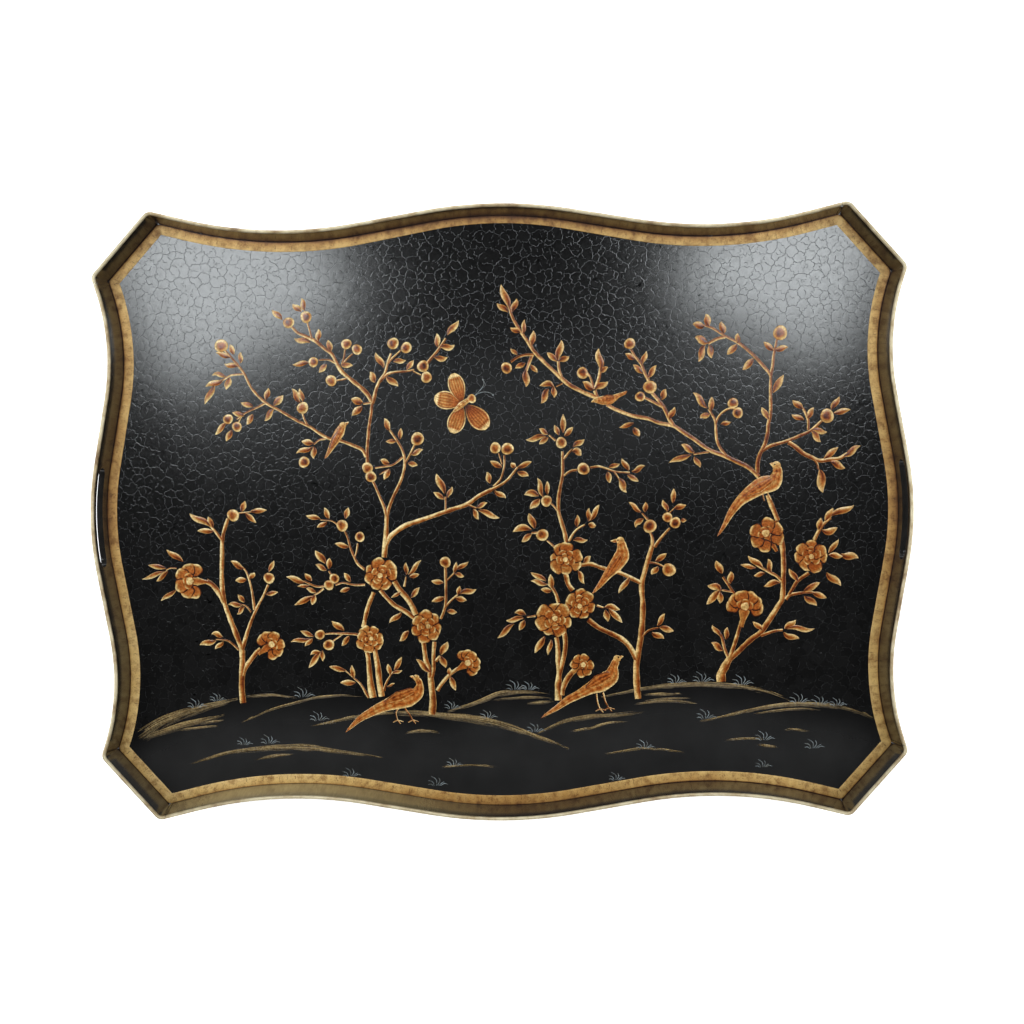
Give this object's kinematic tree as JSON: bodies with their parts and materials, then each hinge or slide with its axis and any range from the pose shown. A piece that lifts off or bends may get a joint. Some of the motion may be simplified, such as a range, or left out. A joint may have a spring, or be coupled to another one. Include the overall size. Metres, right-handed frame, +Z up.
{
  "type": "painted metal serving tray",
  "caption": "Large black lacquered metal tray with scalloped sides, cut-off corners, an upright gilt rim, hand slots and gold bird and blossom painting.",
  "frame": {"origin": "middle of the tray on the surface that it stands on", "axes": "+X to the right along the long sides, +Y to the back, +Z up"},
  "size_m": [0.7362, 0.5528, 0.04],
  "materials": {
    "black_lacquer": "glossy black lacquer with age crackle",
    "gilt_paint": "antique gold paint, satin, worn and finely cracked",
    "painted_scene": "hand-painted gold, rust and grey decoration, slightly raised",
    "iron_wire": "dark iron wire",
    "solder": "dull grey soft solder"
  },
  "bodies": {
    "root": {"floor_pan": "black_lacquer", "rim_strip_back": "black_lacquer", "rim_strip_right": "black_lacquer", "rim_strip_front": "black_lacquer", "rim_strip_left": "black_lacquer", "edge_wire_back": "iron_wire", "edge_wire_right": "iron_wire", "edge_wire_front": "iron_wire", "edge_wire_left": "iron_wire", "corner_seam_back": "black_lacquer", "corner_seam_right": "black_lacquer", "corner_seam_front": "black_lacquer", "corner_seam_left": "black_lacquer", "pan_solder_back": "solder", "pan_solder_back_corner": "solder", "pan_solder_right": "solder", "pan_solder_right_corner": "solder", "pan_solder_front": "solder", "pan_solder_front_corner": "solder", "pan_solder_left": "solder", "pan_solder_left_corner": "solder"}
  },
  "joints": []
}
